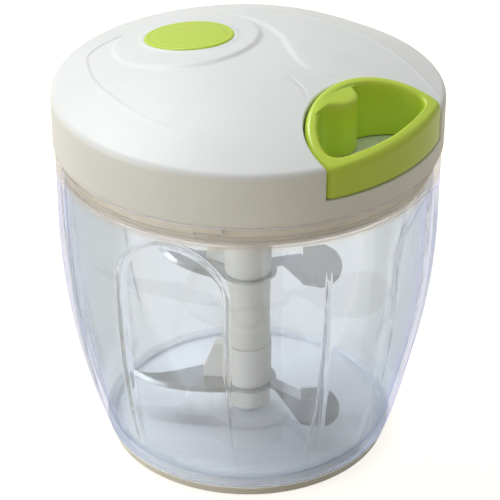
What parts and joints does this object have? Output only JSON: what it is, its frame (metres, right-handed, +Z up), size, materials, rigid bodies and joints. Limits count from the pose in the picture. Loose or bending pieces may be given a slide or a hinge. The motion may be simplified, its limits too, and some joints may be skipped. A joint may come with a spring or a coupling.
{
  "type": "pull cord food chopper",
  "caption": "Hand food chopper: clear bowl, domed lid with a ring handle on a recoil cord, and a turning column of curved blades.",
  "frame": {"origin": "centre of the base's underside", "axes": "+Z up along the bowl's axis, +X the way the handle is pulled"},
  "size_m": [0.13, 0.13, 0.1456],
  "materials": {
    "clear_plastic": "clear, polished",
    "base_rubber": "soft satin",
    "steel": "ground",
    "spring_steel": "blued",
    "blade_steel": "polished",
    "lid_plastic": "fine satin",
    "seal_rubber": "satin",
    "lime_plastic": "glossy",
    "white_nylon": "satin",
    "grey_nylon": "satin",
    "cord": "braided"
  },
  "bodies": {
    "bowl": {"bowl": "clear_plastic", "non_slip_base": "base_rubber", "pivot_pin": "steel"},
    "lid": {"lid_shell": "lid_plastic", "lid_base": "lid_plastic", "lid_seal": "seal_rubber", "lid_button_cap": "lime_plastic", "cord_eyelet": "steel", "reel_axle": "steel", "lid_screws": "steel", "recoil_spring": "spring_steel"},
    "reel": {"cord_reel": "white_nylon", "wound_cord": "cord"},
    "drive": {"drive_hub": "grey_nylon", "pawl_pins": "steel", "pawl_spring_a": "spring_steel", "pawl_spring_b": "spring_steel"},
    "pawl_a": {"pawl_a": "white_nylon"},
    "pawl_b": {"pawl_b": "white_nylon"},
    "handle": {"pull_handle": "lime_plastic", "cord_knot": "cord", "cord_lead": "cord"},
    "rotor": {"rotor_spindle": "white_nylon", "rotor_bush": "grey_nylon", "foot_sleeve": "white_nylon", "lower_blade": "blade_steel", "lower_blade_clip": "white_nylon", "middle_sleeve": "white_nylon", "blade_seat_sleeve": "white_nylon", "upper_blade": "blade_steel", "upper_blade_clip": "white_nylon", "upper_sleeve": "white_nylon"}
  },
  "joints": [
    {"name": "lid_lift", "type": "slide", "parent": "bowl", "child": "lid", "axis": [0, 0, 1], "range_m": [0, 0.1]},
    {"name": "handle_pull", "type": "slide", "parent": "lid", "child": "handle", "axis": [1, 0, 0], "range_m": [0, 0.4], "stiffness_N_per_m": 10, "springref_m": -0.5, "deforming": ["cord_lead"]},
    {"name": "reel_spin", "type": "hinge", "parent": "lid", "child": "reel", "pos_m": [0, 0, 0.1255], "axis": [0, 0, 1], "range_deg": [0, 1280], "deforming": ["recoil_spring", "wound_cord"]},
    {"name": "drive_spin", "type": "hinge", "parent": "lid", "child": "drive", "pos_m": [0, 0, 0.111], "axis": [0, 0, 1], "range_deg": [0, 1280]},
    {"name": "pawl_a_tilt", "type": "hinge", "parent": "drive", "child": "pawl_a", "pos_m": [0.01169, 0.00675, 0.114], "axis": [0, 0, -1], "range_deg": [0, 14], "stiffness_Nm_per_rad": 0.005, "springref_deg": -11.46, "deforming": ["pawl_spring_a"]},
    {"name": "pawl_b_tilt", "type": "hinge", "parent": "drive", "child": "pawl_b", "pos_m": [-0.01169, -0.00675, 0.114], "axis": [0, 0, -1], "range_deg": [0, 14], "stiffness_Nm_per_rad": 0.005, "springref_deg": -11.46, "deforming": ["pawl_spring_b"]},
    {"name": "rotor_spin", "type": "hinge", "parent": "bowl", "child": "rotor", "pos_m": [0, 0, 0.012], "axis": [0, 0, 1], "range_deg": [0, 1280]}
  ],
  "couplings": [
    {"joint": "reel_spin", "follows": "handle_pull", "rad_per_m": 55.556},
    {"joint": "drive_spin", "follows": "handle_pull", "rad_per_m": 55.556},
    {"joint": "rotor_spin", "follows": "handle_pull", "rad_per_m": 55.556}
  ]
}
